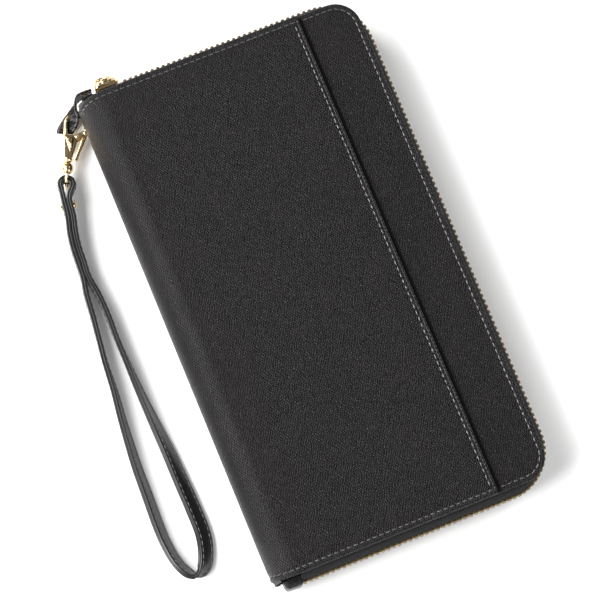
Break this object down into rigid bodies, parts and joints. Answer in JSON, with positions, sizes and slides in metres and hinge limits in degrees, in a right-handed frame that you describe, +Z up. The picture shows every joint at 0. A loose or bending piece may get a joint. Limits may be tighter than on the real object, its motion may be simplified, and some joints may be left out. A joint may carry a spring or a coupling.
{
  "type": "travel document organizer",
  "caption": "Zip-around travel document wallet with a soft spine fold, outer slip pocket, middle pocket, card slots, gold clasp and detachable wrist strap loop.",
  "frame": {"origin": "centre of the back cover's outer face, on which the closed organizer lies", "axes": "+X from the spine fold to the long zip side, +Y along the spine to the end with the zip slider, +Z up through the thickness, out of the front cover"},
  "size_m": [0.1709, 0.2453, 0.0253],
  "materials": {
    "cover_leather": "fine cross-grain embossed, semi-matt black",
    "strap_leather": "smooth semi-gloss black with sewn edges",
    "inner_leather": "fine grain, semi-matt black",
    "lining_cloth": "twill lining, black",
    "zip_tape": "woven black tape",
    "elastic_cloth": "ribbed black elastic",
    "board": "grey-brown stiffening board",
    "filler": "soft felt filler",
    "zip_metal": "light gold plated teeth",
    "gold_metal": "polished champagne gold plating",
    "clear_film": "clear vinyl window"
  },
  "bodies": {
    "back": {"back_skin": "cover_leather", "back_board": "board", "back_lining": "lining_cloth", "back_zip_tape": "zip_tape", "back_zip_teeth": "zip_metal", "zip_top_stop": "zip_metal", "zip_bottom_stop": "zip_metal", "ticket_pocket": "lining_cloth", "passport_sleeve": "inner_leather", "pen_loop": "elastic_cloth"},
    "spine": {"spine_skin": "cover_leather", "spine_filler": "filler", "spine_lining": "lining_cloth", "middle_hinge": "elastic_cloth"},
    "front": {"front_skin": "cover_leather", "slip_pocket": "cover_leather", "front_board": "board", "front_lining": "lining_cloth", "front_zip_tape": "zip_tape", "front_zip_teeth": "zip_metal", "card_slot_1": "inner_leather", "card_slot_2": "inner_leather", "card_slot_3": "inner_leather", "card_slot_4": "inner_leather", "card_slot_5": "inner_leather", "window_frame": "inner_leather", "window_film": "clear_film"},
    "middle": {"middle_back_panel": "lining_cloth", "middle_front_panel": "lining_cloth", "middle_gusset": "elastic_cloth"},
    "slider": {"zip_slider": "gold_metal"},
    "pull": {"zip_pull": "gold_metal"},
    "tab": {"zip_tab": "cover_leather", "tab_rivet": "gold_metal"},
    "clasp": {"clasp_hook": "gold_metal", "clasp_gate_pin": "gold_metal"},
    "gate": {"clasp_gate": "gold_metal"},
    "swivel": {"clasp_swivel": "gold_metal"},
    "strap": {"wrist_strap": "strap_leather", "strap_stud": "gold_metal"}
  },
  "joints": [
    {"name": "spine_fold", "type": "hinge", "parent": "back", "child": "spine", "pos_m": [-0.06184, 0, 0.00366], "axis": [0, -1, 0], "range_deg": [0, 15]},
    {"name": "cover_fold", "type": "hinge", "parent": "spine", "child": "front", "pos_m": [-0.06184, 0, 0.02134], "axis": [0, -1, 0], "range_deg": [0, 100]},
    {"name": "middle_fold", "type": "hinge", "parent": "spine", "child": "middle", "pos_m": [-0.0607, 0, 0.01165], "axis": [0, -1, 0], "range_deg": [0, 50]},
    {"name": "zip_slide", "type": "slide", "parent": "back", "child": "slider", "axis": [1, 0, 0], "range_m": [0, 0.088]},
    {"name": "pull_swing", "type": "hinge", "parent": "slider", "child": "pull", "pos_m": [-0.0494, 0.1212, 0.01175], "axis": [1, 0, 0], "range_deg": [0, 140]},
    {"name": "tab_swing", "type": "hinge", "parent": "back", "child": "tab", "pos_m": [-0.0568, 0.1197, 0.01175], "axis": [0, 0, 1], "range_deg": [-40, 0]},
    {"name": "clasp_swing", "type": "hinge", "parent": "tab", "child": "clasp", "pos_m": [-0.06829, 0.11456, 0.00282], "axis": [0.0421, 0.0945, 0.9946], "range_deg": [-6, 0]},
    {"name": "gate_press", "type": "hinge", "parent": "clasp", "child": "gate", "pos_m": [-0.06548, 0.10435, 0.00368], "axis": [0.0421, 0.0945, 0.9946], "range_deg": [0, 12], "stiffness_Nm_per_rad": 0.004, "springref_deg": -11.46},
    {"name": "swivel_turn", "type": "hinge", "parent": "clasp", "child": "swivel", "pos_m": [-0.07384, 0.10328, 0.00413], "axis": [0.4046, 0.9086, -0.1035], "continuous": true},
    {"name": "strap_swing", "type": "hinge", "parent": "swivel", "child": "strap", "pos_m": [-0.08193, 0.08511, 0.0062], "axis": [0, 0, 1], "range_deg": [-40, 3]}
  ],
  "couplings": [
    {"joint": "spine_fold", "follows": "cover_fold", "ratio": 0.15},
    {"joint": "middle_fold", "follows": "cover_fold", "ratio": 0.5}
  ]
}
